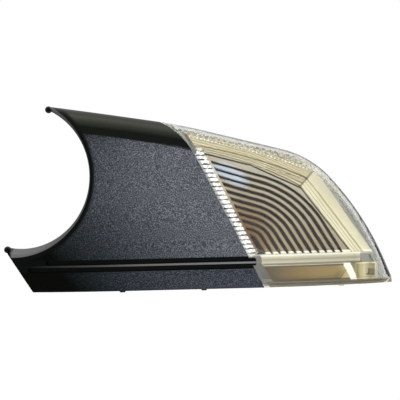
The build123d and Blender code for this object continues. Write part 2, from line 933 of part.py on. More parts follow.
with BuildSketch(Plane.XZ) as panel_area:
    add(outline(seal_edge))
    add(left_of_seam(-case_wall, tongue=False), mode=Mode.SUBTRACT)
    with Locations((tip_x - seal_edge, 0)):
        Rectangle(reach, 2 * reach, align=(Align.MIN, Align.CENTER), mode=Mode.SUBTRACT)

with BuildPart() as seam_wall:
    with BuildSketch(Plane.XZ):
        add(left_of_seam(tongue=False))
        add(left_of_seam(-case_wall, tongue=False), mode=Mode.SUBTRACT)
    extrude(amount=reach, both=True)
    add(rolled_body(cover_wall + case_gap, case_front, panel_rear), mode=Mode.INTERSECT)

with BuildPart() as case_ears:
    with BuildSketch(plane_at(ear_y + ear_thickness)):
        for ear, root in zip(ear_places, ear_roots):
            with BuildLine():
                Line(seam_point(*ear), seam_point(*root))
            trace(line_width=2 * ear_radius)
        with Locations(*ears):
            Circle(ear_radius)
    extrude(amount=ear_thickness)

with BuildSketch(Plane.XZ) as tray_post_area:
    with Locations(*tray_posts):
        Circle(post_size)

with BuildPart() as case_posts:
    with BuildSketch(Plane.XZ):
        with Locations(*reflector_posts):
            Circle(post_size)
    extrude(amount=reach, both=True)
    add(layer(skirt_front / 2, panel_front), mode=Mode.INTERSECT)
    with BuildSketch(field_plane.offset(-plate_thickness - seat_gap)):
        Rectangle(4 * reach, 4 * reach)
    extrude(amount=-reach, mode=Mode.INTERSECT)
    add(prism(tray_post_area.sketch, tray_back + seat_gap, panel_front))

with BuildPart() as case_rails:
    front_n = bar_n + bar_thickness + rail_gap
    rail_spans = [
        (board_back_n - rail_gap - rail_width, board_back_n - rail_gap),
        (board_n + rail_gap, bar_n - rail_gap),
        (front_n, front_n + rail_width),
    ]
    for end in (-1, 1):
        for near_n, far_n in rail_spans:
            add(
                board_block(
                    end * (chamber_u - case_wall / 2 - rail_reach / 2), case_wall + rail_reach,
                    near_n, far_n, board_front_y - rail_lead, board_rear_y,
                )
            )
    add(prism(chamber(), case_front + case_wall / 2, reach / 2), mode=Mode.INTERSECT)

with BuildPart() as rear_case:
    add(prism(chamber(), case_front, panel_rear))
    add(seam_wall.part)
    add(prism(skirt_area.sketch, skirt_front, panel_rear))
    add(prism(chamber(-case_wall, 1.0), case_front + case_wall, panel_front), mode=Mode.SUBTRACT)
    add(prism(hollow_area.sketch, -proud, panel_front), mode=Mode.SUBTRACT)
    add(prism(panel_area.sketch, panel_front, panel_rear))
    add(case_rails.part)
    add(case_posts.part)
    add(case_ears.part)
    with BuildSketch(plane_at(socket_end_y)):
        with Locations((socket_x, socket_z)):
            RectangleRounded(
                socket_width + 2 * socket_wall, socket_height + 2 * socket_wall,
                socket_radius + socket_wall,
            )
    extrude(amount=socket_depth + case_wall / 2)
    with BuildSketch(plane_at(socket_end_y)):
        with Locations((socket_x, socket_z)):
            RectangleRounded(socket_width, socket_height, socket_radius)
    extrude(amount=socket_depth, mode=Mode.SUBTRACT)
    hole = pin_size + 2 * rail_gap
    for u in pins:
        add(
            board_block(
                u, hole, pin_n - hole / 2, pin_n + hole / 2,
                socket_root_y - 2 * case_wall, pin_end_y,
            ),
            mode=Mode.SUBTRACT,
        )
    with BuildSketch(plane_at(ear_y + ear_thickness)):
        with Locations(*ears):
            Circle(screw_hole_radius)
    extrude(amount=ear_thickness, mode=Mode.SUBTRACT)
    breather_x, breather_z = breather_place
    breather_y = skin_y(breather_x, breather_z, panel_rear)
    with BuildSketch(plane_at(breather_y + breather_collar)):
        with Locations(breather_place):
            Circle(breather_cap_radius)
    extrude(amount=breather_collar + case_wall / 2)
    with BuildSketch(plane_at(breather_y + breather_collar)):
        with Locations(breather_place):
            Circle(breather_radius)
    extrude(amount=breather_collar + 3 * case_wall, mode=Mode.SUBTRACT)

# Seal between the lens rim and the case panel
with BuildSketch(Plane.XZ) as seal_hollow:
    add(outline(seal_edge + seal_width))
    with Locations((tip_x - seal_edge - seal_width, 0)):
        Rectangle(reach, 2 * reach, align=(Align.MIN, Align.CENTER), mode=Mode.SUBTRACT)

with BuildSketch(Plane.XZ) as seal_ring:
    add(outline(seal_edge))
    with Locations((tip_x - seal_edge, 0)):
        Rectangle(reach, 2 * reach, align=(Align.MIN, Align.CENTER), mode=Mode.SUBTRACT)
    add(seal_hollow.sketch, mode=Mode.SUBTRACT)
    add(left_of_seam(seam_gap / 2 + lens_wall + loose_gap, tongue=False), mode=Mode.SUBTRACT)

with BuildPart() as rim_seal:
    add(prism(seal_ring.sketch, shell_depth + seal_gap, panel_front - seal_gap))

# Breather plug pressed into its collar
with BuildPart() as breather_plug:
    with BuildSketch(plane_at(breather_y + breather_collar + seal_gap + breather_cap_height)):
        with Locations(breather_place):
            Circle(breather_cap_radius)
    extrude(amount=breather_cap_height)
    chamfer(breather_plug.edges().group_by(Axis.Y)[-1], length=breather_chamfer)
    with BuildSketch(plane_at(breather_y + breather_collar + seal_gap)):
        with Locations(breather_place):
            Circle(breather_radius - seal_gap)
    extrude(amount=breather_collar + case_wall)
    with BuildSketch(plane_at(breather_y)):
        with Locations(breather_place):
            Circle(breather_radius / 3)
    extrude(amount=2 * case_wall, mode=Mode.SUBTRACT)

# LED board along the seam, with its soldered parts
with BuildPart() as led_board:
    add(board_block(0, board_length, board_back_n, board_n, board_front_y, board_rear_y))
    corners = led_board.edges().filter_by(
        lambda edge: abs((edge @ 0 - edge @ 1).dot(Vector(seam_out[0], 0, seam_out[1]))) > 1
    )
    chamfer(corners, length=board_chamfer)

leds = []
for index in range(led_count):
    u = (index - (led_count - 1) / 2) * led_pitch
    with BuildPart() as led:
        add(
            board_block(
                u, led_length, board_n + solder_gap, board_n + led_height,
                led_y - led_width / 2, led_y + led_width / 2,
            )
        )
        with BuildSketch(board_plane(u, board_n + led_height, led_y)):
            Circle(led_window_radius)
        extrude(amount=-led_window_depth, mode=Mode.SUBTRACT)
    leds.append(led)

# Light bar between the LEDs and the reflector
with BuildPart() as light_bar:
    bar_y = (led_y - bar_width / 2, led_y + bar_width / 2)
    add(board_block(0, board_length, bar_n, bar_n + bar_thickness, *bar_y))

resistors = []
for u in resistor_places:
    with BuildPart() as resistor:
        add(
            board_block(
                u, resistor_size[1], board_back_n - resistor_size[2], board_back_n - solder_gap,
                resistor_y - resistor_size[0] / 2, resistor_y + resistor_size[0] / 2,
            )
        )
    resistors.append(resistor)

with BuildPart() as driver_chip:
    chip_front = board_back_n - solder_gap
    add(
        board_block(
            chip_u, chip_size[0], chip_front - chip_size[2], chip_front - chip_leg_height / 2,
            chip_y - chip_size[1] / 2, chip_y + chip_size[1] / 2,
        )
    )
    for index in range(chip_leg_count):
        leg_u = chip_u + (index - (chip_leg_count - 1) / 2) * chip_leg_pitch
        add(
            board_block(
                leg_u, chip_leg_width, chip_front - chip_leg_height, chip_front,
                chip_y - chip_size[1] / 2 - chip_leg_reach, chip_y + chip_size[1] / 2 + chip_leg_reach,
            )
        )

with BuildPart() as capacitor:
    with BuildSketch(board_plane(capacitor_u, board_back_n - solder_gap, resistor_y)):
        Circle(capacitor_radius)
    extrude(amount=-capacitor_height)

with BuildPart() as protection_diode:
    add(
        board_block(
            diode_u, diode_size[0], board_back_n - diode_size[2], board_back_n - solder_gap,
            resistor_y - diode_size[1] / 2, resistor_y + diode_size[1] / 2,
        )
    )

# Contact pins from the board through the panel into the socket
terminals = []
for u in pins:
    with BuildPart() as terminal:
        add(
            board_block(
                u, pin_size, pin_n - pin_size / 2, pin_n + pin_size / 2, pin_solder_y, pin_end_y
            )
        )
        chamfer(terminal.faces().sort_by(Axis.Y)[-1].edges(), length=pin_size / 4)
    terminals.append(terminal)

# Side LED on its own board behind the cup, and the strip that feeds it
side_board_plane = side_seat_plane.offset(-seat_gap)
with BuildPart() as side_board:
    with BuildSketch(side_board_plane):
        RectangleRounded(side_board_size[0], side_board_size[1], side_board_radius)
    extrude(amount=-side_board_size[2])

with BuildPart() as side_led:
    with BuildSketch(side_board_plane.offset(solder_gap)):
        Rectangle(side_led_size, side_led_size)
    extrude(amount=side_led_height)
    with BuildSketch(side_board_plane.offset(solder_gap + side_led_height)):
        Circle(led_window_radius)
    extrude(amount=-led_window_depth, mode=Mode.SUBTRACT)

strip_bend = seam_point(strip_u, strip_bend_n)
with BuildSketch(Plane.XZ) as strip_run:
    with BuildLine():
        FilletPolyline(
            seam_point(strip_u, strip_start_n), strip_bend, (strip_turn_x, strip_bend[1]),
            (strip_end_x, side_z), radius=strip_width,
        )
    trace(line_width=strip_width)

with BuildSketch(Plane.XZ) as strip_tab:
    with Locations((strip_end_x, side_z)):
        Rectangle(strip_thickness, strip_width)

with BuildPart() as jumper_strip:
    add(prism(strip_run.sketch, panel_front - seat_gap - strip_thickness, panel_front - seat_gap))
    add(prism(strip_tab.sketch, tray_back + side_board_size[2], panel_front - seat_gap))

# Screws through the case's ears into the cover's posts
with BuildPart() as case_screws:
    with BuildSketch(plane_at(ear_y + ear_thickness + screw_head_height)):
        with Locations(*ears):
            Circle(screw_head_radius)
    extrude(amount=screw_head_height)
    fillet(case_screws.edges().group_by(Axis.Y)[-1], radius=screw_head_round)
    with BuildSketch(plane_at(ear_y + ear_thickness)):
        with Locations(*ears):
            Circle(screw_radius)
    extrude(amount=screw_length)
    with BuildSketch(plane_at(ear_y + ear_thickness + screw_head_height)):
        with Locations(*ears):
            RegularPolygon(drive_radius, 6)
    extrude(amount=drive_depth, mode=Mode.SUBTRACT)

nodes = {
    "cover": cover, "lens": lens, "rib_reflector": rib_reflector,
    "lower_reflector": lower_reflector, "rear_case": rear_case, "rim_seal": rim_seal,
    "breather_plug": breather_plug, "led_board": led_board, "light_bar": light_bar,
    "driver_chip": driver_chip, "capacitor": capacitor, "protection_diode": protection_diode,
    "side_board": side_board, "side_led": side_led, "jumper_strip": jumper_strip,
    "case_screws": case_screws,
}
for stem, pieces in (("led", leds), ("resistor", resistors), ("terminal", terminals)):
    for number, piece in enumerate(pieces, 1):
        nodes[f"{stem}_{number}"] = piece

for name, node in nodes.items():
    node.part.label = name
    print(name, len(node.part.solids()), round(node.part.volume), node.part.is_valid)
    export_step(node.part, f"parts/{name}.step")
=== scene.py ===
# %% [markdown]
# # The indicator lamp of a door mirror
#
# This lesson dresses an indicator lamp that sits in the outer end of a door mirror, together with the
# black cover below the mirror. The solids come from the construction model, already at their real size
# and place, so the work here is the finish: grained plastic, clear plastic, a metallised reflector and
# plain studio light.

# %% Load the construction model
import json
import math

import bmesh
import bpy
from mathutils import Matrix, Vector


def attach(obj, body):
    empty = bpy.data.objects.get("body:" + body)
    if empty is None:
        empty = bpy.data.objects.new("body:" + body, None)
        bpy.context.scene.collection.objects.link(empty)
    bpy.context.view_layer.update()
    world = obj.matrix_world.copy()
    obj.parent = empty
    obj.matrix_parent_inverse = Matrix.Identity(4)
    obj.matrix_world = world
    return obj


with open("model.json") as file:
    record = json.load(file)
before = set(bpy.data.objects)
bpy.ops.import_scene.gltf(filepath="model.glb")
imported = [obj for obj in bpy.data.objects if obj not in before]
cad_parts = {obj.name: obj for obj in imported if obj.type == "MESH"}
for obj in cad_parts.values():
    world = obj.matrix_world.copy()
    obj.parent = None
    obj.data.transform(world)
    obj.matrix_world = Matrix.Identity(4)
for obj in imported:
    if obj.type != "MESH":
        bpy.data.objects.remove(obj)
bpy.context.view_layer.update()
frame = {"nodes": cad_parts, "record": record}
nodes = frame["nodes"]

# %% [markdown]
# Every finish below is a small tree of nodes that ends in one Principled shader. Such a tree could be
# drawn by hand in the shader editor. As code, each number gets a name and what repeats is written once.
# The first helpers start a material, feed a socket and add a node. Shaders reckon in linear light, so
# colours that are written as on a screen, from 0 to 255, are turned into it.

# %% Helpers that start a finish
MM = 0.001
finishes = {}


def new_finish(name):
    """A material that the pieces can ask for, with its node tree and its Principled shader."""
    made = bpy.data.materials.new(name)
    made.use_nodes = True
    finishes[name] = made
    return made, made.node_tree, made.node_tree.nodes["Principled BSDF"]


def feed(tree, socket, value):
    """Link a socket to another one, or set it to a plain value."""
    if isinstance(value, bpy.types.NodeSocket):
        tree.links.new(value, socket)
    else:
        socket.default_value = value


def add_node(tree, kind, inputs=(), **settings):
    """A node with its settings, whose inputs are fed by name or by place."""
    made = tree.nodes.new(kind)
    for key, value in settings.items():
        setattr(made, key, value)
    for key, value in dict(inputs).items():
        feed(tree, made.inputs[key], value)
    return made


def linear(red, green, blue):
    """Linear colour of an eight-bit screen colour."""
    return tuple(
        (value / 255 / 12.92) if value < 11 else ((value / 255 + 0.055) / 1.055) ** 2.4
        for value in (red, green, blue)
    )


print("screen grey 128 is", round(linear(128, 128, 128)[0], 3), "in linear light")

# %% [markdown]
# The finishes change from place to place on a piece: a band here, a corner there. They could be painted
# on an unwrapped image, but sums of the point's own coordinates stay sharp at any size and need no
# unwrapping. The coordinates come in metres and are turned into millimetres, so that a number below
# can be measured on the part. The masks are factors from nought to one.

# %% Helpers that find a place
def place(tree):
    """The point on the piece, in metres."""
    return add_node(tree, "ShaderNodeTexCoord").outputs["Object"]


def scaled(tree, vector, factor):
    """A colour or vector times a number."""
    made = add_node(tree, "ShaderNodeVectorMath", {0: vector, "Scale": factor}, operation="SCALE")
    return made.outputs[0]


def face_place(tree):
    """The point's x and z in millimetres, as two sockets."""
    split = add_node(tree, "ShaderNodeSeparateXYZ", {"Vector": scaled(tree, place(tree), 1 / MM)})
    return split.outputs["X"], split.outputs["Z"]


def math_node(tree, operation, *values):
    """A sum, product or other operation on up to three values."""
    return add_node(tree, "ShaderNodeMath", enumerate(values), operation=operation).outputs[0]


def weighted(tree, first, second, first_share, second_share, start=0.0):
    """Shares of two values, added to a start."""
    part = math_node(tree, "MULTIPLY_ADD", second, second_share, start)
    return math_node(tree, "MULTIPLY_ADD", first, first_share, part)


def offset(tree, x, z, point):
    """How far the point's x and z lie from those of a fixed point."""
    return math_node(tree, "SUBTRACT", x, point[0]), math_node(tree, "SUBTRACT", z, point[1])


def square_sum(tree, first, second):
    """The sum of the squares of two values."""
    squares = [math_node(tree, "MULTIPLY", value, value) for value in (first, second)]
    return weighted(tree, *squares, 1.0, 1.0)


def above_line(tree, x, z, points):
    """Height of a point above a line that bends downwards, in millimetres."""
    result = None
    for (x0, z0), (x1, z1) in zip(points, points[1:]):
        slope = (z1 - z0) / (x1 - x0)
        above = weighted(tree, x, z, -slope, 1.0, slope * x0 - z0)
        result = above if result is None else math_node(tree, "MAXIMUM", result, above)
    return result


def map_range(tree, value, low, high, to_low=0.0, to_high=1.0, curve="LINEAR"):
    """A value carried from one range to another, and held at the ends."""
    ends = {"From Min": low, "From Max": high, "To Min": to_low, "To Max": to_high}
    made = add_node(tree, "ShaderNodeMapRange", {"Value": value, **ends}, interpolation_type=curve)
    return made.outputs[0]


def rise(tree, value, start, end):
    """A mask that goes softly from nought at the start to one at the end."""
    return map_range(tree, value, start, end, curve="SMOOTHSTEP")


def product(tree, *factors):
    """The product of masks or numbers."""
    result = factors[0]
    for factor in factors[1:]:
        result = math_node(tree, "MULTIPLY", result, factor)
    return result


def between(tree, value, low, high, soft):
    """A mask that is one from low to high, with soft ends."""
    up = rise(tree, value, low - soft, low + soft)
    down = rise(tree, value, high + soft, high - soft)
    return product(tree, up, down)


# %% [markdown]
# Colour is then laid on as a painter does: a ground, and coats over it where a mask says so. A ramp
# holds the shades along one value. Noise keeps any coat from being flat, and the same noise can raise
# the surface by a real depth, which a plain speckle of colour would not.

# %% Helpers that lay on colour
# A Mix node has its own sockets for each kind of data. These are the places of those for colours.
MIX_FACTOR, MIX_FIRST, MIX_SECOND = 0, 6, 7
MIX_RESULT = 2


def ramp(tree, factor, *stops):
    """A colour ramp through (position, colour) stops, in linear light."""
    made = add_node(tree, "ShaderNodeValToRGB", {"Fac": factor})
    points = made.color_ramp.elements
    while len(points) < len(stops):
        points.new(0.5)
    for point, (position, colour) in zip(points, stops):
        point.position = position
        point.color = (*colour, 1.0)
    return made.outputs["Color"]


def along(tree, value, stops):
    """A colour ramp whose stops are in the value's own units, with screen colours."""
    low, high = stops[0][0], stops[-1][0]
    steps = [((at - low) / (high - low), linear(*colour)) for at, colour in stops]
    return ramp(tree, map_range(tree, value, low, high), *steps)


def blend_colours(tree, factor, first, second):
    """A mix of two colours, each a socket or a colour in linear light."""
    pair = [
        colour if isinstance(colour, bpy.types.NodeSocket) else (*colour, 1.0)
        for colour in (first, second)
    ]
    inputs = {MIX_FACTOR: factor, MIX_FIRST: pair[0], MIX_SECOND: pair[1]}
    return add_node(tree, "ShaderNodeMix", inputs, data_type="RGBA").outputs[MIX_RESULT]


def coated(tree, colour, *coats):
    """A colour under (mask, colour) coats, the last one on top."""
    for mask, coat in coats:
        colour = blend_colours(tree, mask, colour, coat)
    return colour


def noise(tree, size, detail=2.0, roughness=0.5):
    """Soft noise whose largest lumps have a size in metres."""
    settings = {"Vector": place(tree), "Scale": 1 / size, "Detail": detail, "Roughness": roughness}
    return add_node(tree, "ShaderNodeTexNoise", settings).outputs["Fac"]


def bump(tree, height, depth):
    """Small relief of a real depth in metres."""
    return add_node(tree, "ShaderNodeBump", {"Distance": depth, "Height": height}).outputs["Normal"]


def mix_shaders(tree, factor, first, second):
    """Give the material's surface a mix of two shaders."""
    mixed = add_node(tree, "ShaderNodeMixShader", {0: factor, 1: first, 2: second})
    tree.links.new(mixed.outputs["Shader"], tree.nodes["Material Output"].inputs["Surface"])


print("a mix of colours is fed at sockets", MIX_FACTOR, MIX_FIRST, "and", MIX_SECOND)

# %% [markdown]
# The lower cover is moulded in black plastic whose tool was etched with a fine leather grain. Seen from
# a step away the grain is a speckle, because each pimple catches the light on one side. Real pimples
# would take millions of faces, so a noise gives them as relief, and the same noise paints that light and
# shade into the colour as a speckle. The sheen is painted too: it grows towards the lens, and painted
# shade darkens it to the left and down, and below the groove, where the face turns away from the light.

# %% Grain and painted sheen of the cover
GRAIN_SIZE = 0.6 * MM
GRAIN_DEPTH = 0.10 * MM
GRAIN_DETAIL = 3.0
GRAIN_ROUGHNESS = 0.7
# The speckle paints the light and shade that the grain's pimples catch.
PAINTED_SPECKLE_FROM = (0.46, 0.66)
PAINTED_SPECKLE_TO = (0.55, 2.9)
SHEEN_TOP = 4.0
SHEEN_LEAN = 0.9
# Painted sheen, brightest towards the lens, with painted shade to the left and down.
FACE_PAINTED_SHEEN = (
    (-80.0, (2, 3, 1)), (-70.0, (20, 24, 26)), (-50.0, (38, 43, 47)), (-28.0, (58, 62, 67)),
    (2.0, (79, 82, 88)), (20.0, (84, 87, 93)),
)
# Below the groove the face is painted darker, as painted shade.
LOW_FACE_Z = (-36.0, -39.0)
LOW_FACE_PAINTED_SHEEN = (
    (-84.0, (2, 3, 1)), (-66.0, (24, 30, 33)), (-48.0, (42, 46, 52)), (-20.0, (54, 58, 64)),
    (10.0, (56, 60, 67)),
)


def sheen_painted_face(tree, x, z, pimples):
    """Colour of the grained faces above and below the groove, with painted sheen, shade and speckle."""
    sheen = weighted(tree, x, math_node(tree, "MINIMUM", z, SHEEN_TOP), 1.0, SHEEN_LEAN)
    low_face = along(tree, sheen, LOW_FACE_PAINTED_SHEEN)
    face = coated(tree, along(tree, sheen, FACE_PAINTED_SHEEN), (rise(tree, z, *LOW_FACE_Z), low_face))
    return scaled(tree, face, map_range(tree, pimples, *PAINTED_SPECKLE_FROM, *PAINTED_SPECKLE_TO))


print("pimples on ten millimetres:", round(10 * MM / GRAIN_SIZE))

# %% [markdown]
# The rolled top edge, the twin groove, the notch for the mirror's foot and the tips of the two horns
# look plain. They are painted almost black as shade, a painted highlight runs along the roll, and the
# ridge in the groove and the land of the notch get a painted pale line of light. Separate materials on
# separate faces would do, but then every border would need its own cut in the mesh. Here a mask lays
# each stretch over the grain, and on the roll and in the groove, where the plastic is polished, it
# takes the relief away too.

# %% Black plastic of the cover
ROLL_START = (0.105, 0.2)
# Painted shade on the rolled top edge, with a painted highlight, set by how far the surface faces up.
ROLL_PAINTED_SHADE_AND_HIGHLIGHT = (
    (0.2, (14, 18, 14)), (0.42, (13, 16, 12)), (0.62, (46, 48, 42)), (0.78, (70, 71, 64)),
    (0.96, (44, 46, 41)),
)
GROOVE_Z = (-38.0, -31.4)
GROOVE_SOFT = 0.25
# Painted shade in the groove.
GROOVE_PAINTED_SHADE = linear(6, 9, 8)
RIDGE_Z = (-35.2, -34.2)
RIDGE_SOFT = 0.2
# Painted highlight along the ridge in the groove, brighter to the right.
RIDGE_PAINTED_HIGHLIGHT = ((-66.0, (10, 12, 10)), (-30.0, (66, 66, 62)), (0.0, (104, 104, 101)), (50.0, (124, 125, 126)))
NOTCH_MIDDLE = (-75.2, 14.2)
NOTCH_RADIUS = 44.0
LIP_RADII = (NOTCH_RADIUS + 3.2, NOTCH_RADIUS + 1.0)
# Painted shade along the lip of the notch.
LIP_PAINTED_SHADE = linear(8, 10, 8)
LAND_RADII = (NOTCH_RADIUS - 0.1, NOTCH_RADIUS - 0.5)
# Painted light on the land of the notch, brightest on the left, dark towards the right.
LAND_PAINTED_LIGHT = (
    (-78.0, (112, 113, 113)), (-62.0, (98, 99, 98)), (-46.0, (70, 71, 70)), (-34.0, (30, 32, 31)),
    (-30.0, (16, 18, 16)),
)
UPPER_TIP_X = (-52.0, -53.5)
UPPER_TIP_Z = (40.0, 41.0)
LOWER_TIP_X = (-76.0, -77.0)
# Painted shade on the tips of the horns, where they turn away from the light.
TIP_PAINTED_SHADE = linear(7, 9, 7)
COVER_ROUGHNESS = 0.5
SMOOTH_ROUGHNESS = 0.3
COVER_SPECULAR = 0.06


def make_cover_black():
    made, tree, shader = new_finish("cover_black")
    x, z = face_place(tree)
    normal = add_node(tree, "ShaderNodeNewGeometry").outputs["Normal"]
    lean = add_node(tree, "ShaderNodeSeparateXYZ", {"Vector": normal}).outputs["Z"]
    pimples = noise(tree, GRAIN_SIZE, GRAIN_DETAIL, GRAIN_ROUGHNESS)
    rolled = rise(tree, lean, *ROLL_START)
    in_groove = between(tree, z, *GROOVE_Z, GROOVE_SOFT)
    away = math_node(tree, "SQRT", square_sum(tree, *offset(tree, x, z, NOTCH_MIDDLE)))
    # The coats paint shade on the roll, groove, lip and tips, and pale lines of light on the roll, ridge and
    # land.
    colour = coated(
        tree, sheen_painted_face(tree, x, z, pimples),
        (rolled, along(tree, lean, ROLL_PAINTED_SHADE_AND_HIGHLIGHT)),
        (in_groove, GROOVE_PAINTED_SHADE),
        (between(tree, z, *RIDGE_Z, RIDGE_SOFT), along(tree, x, RIDGE_PAINTED_HIGHLIGHT)),
        (rise(tree, away, *LIP_RADII), LIP_PAINTED_SHADE),
        (rise(tree, away, *LAND_RADII), along(tree, x, LAND_PAINTED_LIGHT)),
        (product(tree, rise(tree, x, *UPPER_TIP_X), rise(tree, z, *UPPER_TIP_Z)), TIP_PAINTED_SHADE),
        (rise(tree, x, *LOWER_TIP_X), TIP_PAINTED_SHADE),
    )
    smooth = math_node(tree, "MAXIMUM", rolled, in_groove)
    grain = product(tree, pimples, math_node(tree, "SUBTRACT", 1.0, smooth))
    roughness = math_node(
        tree, "MULTIPLY_ADD", smooth, SMOOTH_ROUGHNESS - COVER_ROUGHNESS, COVER_ROUGHNESS
    )
    feed(tree, shader.inputs["Base Color"], colour)
    feed(tree, shader.inputs["Normal"], bump(tree, grain, GRAIN_DEPTH))
    feed(tree, shader.inputs["Roughness"], roughness)
    shader.inputs["Specular IOR Level"].default_value = COVER_SPECULAR
    print(made.name, "has", len(tree.nodes), "nodes")


make_cover_black()

# %% [markdown]
# The lens is clear plastic. A Principled shader with full transmission bends the light as plastic does,
# and light reaches what lies behind it by way of a see-through shadow: without that the inside of a
# thin lens renders far too dark, because the renderer finds lamps through bent light only by chance.
# Plain glass all over would look empty. Outside the bezel line the real lens is moulded into small
# prisms, which sparkle, so a fine noise paints their sparkle of light and shade into the tint there, and
# where the wall turns edge-on it is milky.

# %% Clear lens plastic
LENS_IOR = 1.46
LENS_ROUGHNESS = 0.03
WAVE_SIZE = 1 / 90
WAVE_DEPTH = 0.15 * MM
WAVE_TINTS = ((0.3, (246, 247, 244)), (0.7, (253, 253, 251)))
BEZEL = ((18.5, 34.9), (54.6, 27.0), (90.0, 15.1), (120.5, -32.0))
BEZEL_SOFT = (0.0, 1.0)
SPARKLE_SIZE = 1.3 * MM
SPARKLE_ROUGHNESS = 0.7
# Painted sparkle of the prisms: light and shade laid into the tint.
SPARKLE_PAINTED_TINTS = ((0.36, (192, 192, 185)), (0.5, (222, 222, 217)), (0.62, (247, 247, 244)))
LENS_FOOT_Z = (-45.2, -45.8)
LENS_FOOT_TINT = linear(218, 213, 197)
EDGE_FACING = (0.62, 0.97)
EDGE_MILK = 0.75


def make_lens_clear():
    made, tree, shader = new_finish("lens_clear")
    x, z = face_place(tree)
    waves = noise(tree, WAVE_SIZE)
    sparkle = noise(tree, SPARKLE_SIZE, roughness=SPARKLE_ROUGHNESS)
    in_bezel = rise(tree, above_line(tree, x, z, BEZEL), *BEZEL_SOFT)
    tint = coated(
        tree, along(tree, waves, WAVE_TINTS),
        (in_bezel, along(tree, sparkle, SPARKLE_PAINTED_TINTS)),
        (rise(tree, z, *LENS_FOOT_Z), LENS_FOOT_TINT),
    )
    facing = add_node(tree, "ShaderNodeLayerWeight", {"Blend": 0.5}).outputs["Facing"]
    milky = product(tree, rise(tree, facing, *EDGE_FACING), EDGE_MILK)
    feed(tree, shader.inputs["Base Color"], tint)
    feed(tree, shader.inputs["Normal"], bump(tree, waves, WAVE_DEPTH))
    feed(tree, shader.inputs["Transmission Weight"], math_node(tree, "SUBTRACT", 1.0, milky))
    shader.inputs["Roughness"].default_value = LENS_ROUGHNESS
    shader.inputs["IOR"].default_value = LENS_IOR
    shadow = add_node(tree, "ShaderNodeLightPath").outputs["Is Shadow Ray"]
    clear = add_node(tree, "ShaderNodeBsdfTransparent").outputs["BSDF"]
    mix_shaders(tree, shadow, shader.outputs["BSDF"], clear)
    print(made.name, "has", len(tree.nodes), "nodes")


make_lens_clear()

# %% [markdown]
# The reflector is plastic with a thin film of metal. A mirror of one colour would show only the room,
# so the light and shade of the ribs are painted into its colour: the film is warm, with painted shade in
# the valleys between the ribs and a paler painted highlight on the crests. The height of a point above
# the plane that carries the ribs tells valley from crest, so one ramp over that height paints light and
# shade on all ten ribs. Painted light makes the field paler towards the top, it is browner in its lower
# left corner, and a painted bluish glint lies across the upper ribs.

# %% Ribs of the reflector
FIELD_TILT = math.radians(10.5)
FIELD_POINT = Vector((26.0 * MM, -28.0 * MM, 0.0))
FIELD_NORMAL = Vector((math.sin(FIELD_TILT), -math.cos(FIELD_TILT), 0.0))
# Painted shade low in the valleys, then a warm tone and a pale painted highlight on the crests.
RIB_PAINTED_LIGHT = ((1.3, (4, 3, 1)), (1.55, (58, 44, 26)), (1.78, (126, 108, 78)), (1.9, (170, 154, 124)))
# The upper field is painted paler, as painted light.
LIT_RIB_PAINTED_LIGHT = (
    (1.3, (5, 4, 2)), (1.55, (84, 72, 52)), (1.78, (160, 150, 128)), (1.9, (204, 196, 176)),
)
LIT_PAINTED_LEAN = 0.35
LIT_PAINTED_RISE = (-6.0, 40.0)
GLINT_MIDDLE = (44.0, 13.0)
GLINT_REACH = (12.0, 6.5)
GLINT_LEAN = 0.5
GLINT_EDGE = (1.0, 0.1)
GLINT_HEIGHT = (0.2, 1.1)
GLINT_BLUE = linear(214, 224, 240)
CORNER_X = (72.0, 52.0)
CORNER_Z = (8.0, -20.0)
CORNER_HEIGHT = (0.8, 1.5)
CORNER_BROWN = linear(128, 96, 58)


def field_height(tree):
    """Height of a point above the plane that carries the ribs, in millimetres."""
    away = add_node(
        tree, "ShaderNodeVectorMath", {0: place(tree), 1: FIELD_POINT}, operation="SUBTRACT"
    ).outputs[0]
    height = add_node(tree, "ShaderNodeVectorMath", {0: away, 1: FIELD_NORMAL}, operation="DOT_PRODUCT")
    return math_node(tree, "DIVIDE", height.outputs["Value"], MM)


def glint_mask(tree, x, z, height):
    """A leaning oval of painted light on the upper ribs."""
    across = product(tree, math_node(tree, "SUBTRACT", x, GLINT_MIDDLE[0]), 1 / GLINT_REACH[0])
    start = -GLINT_MIDDLE[1] - GLINT_LEAN * GLINT_MIDDLE[0]
    upwards = product(tree, weighted(tree, x, z, GLINT_LEAN, 1.0, start), 1 / GLINT_REACH[1])
    oval = rise(tree, square_sum(tree, across, upwards), *GLINT_EDGE)
    return product(tree, oval, rise(tree, height, *GLINT_HEIGHT))


def rib_colour(tree, x, z, height):
    """Colour of the ribbed field, with painted shade, painted highlights and a painted glint."""
    pale = rise(tree, weighted(tree, x, z, LIT_PAINTED_LEAN, 1.0), *LIT_PAINTED_RISE)
    corner = product(
        tree, rise(tree, x, *CORNER_X), rise(tree, z, *CORNER_Z), rise(tree, height, *CORNER_HEIGHT)
    )
    return coated(
        tree, along(tree, height, RIB_PAINTED_LIGHT),
        (pale, along(tree, height, LIT_RIB_PAINTED_LIGHT)),
        (glint_mask(tree, x, z, height), GLINT_BLUE),
        (corner, CORNER_BROWN),
    )


print("ribs go from dark to bright between", RIB_PAINTED_LIGHT[0][0], "and", RIB_PAINTED_LIGHT[-1][0], "mm")

# %% [markdown]
# Outside the ribs lie the flutes and the rim with its row of studs. The film is painted pale there as a
# highlight, darker low in the flutes and white on the studs, and golden streaks paint the light and shade
# of the flutes. The outer arm of the rim gets a paler painted highlight, and the two arms meet in a mitre
# with a thin dark joint. Streaks this fine could be cut into the mesh, but a sine over the distance from
# the ribs paints the same lines at no cost. A dark line of painted shade parts rim and ribs.

# %% Rim of the reflector
FLUTES = ((25.5, 26.5), (54.6, 18.6), (81.6, 5.7), (109.6, -32.0))
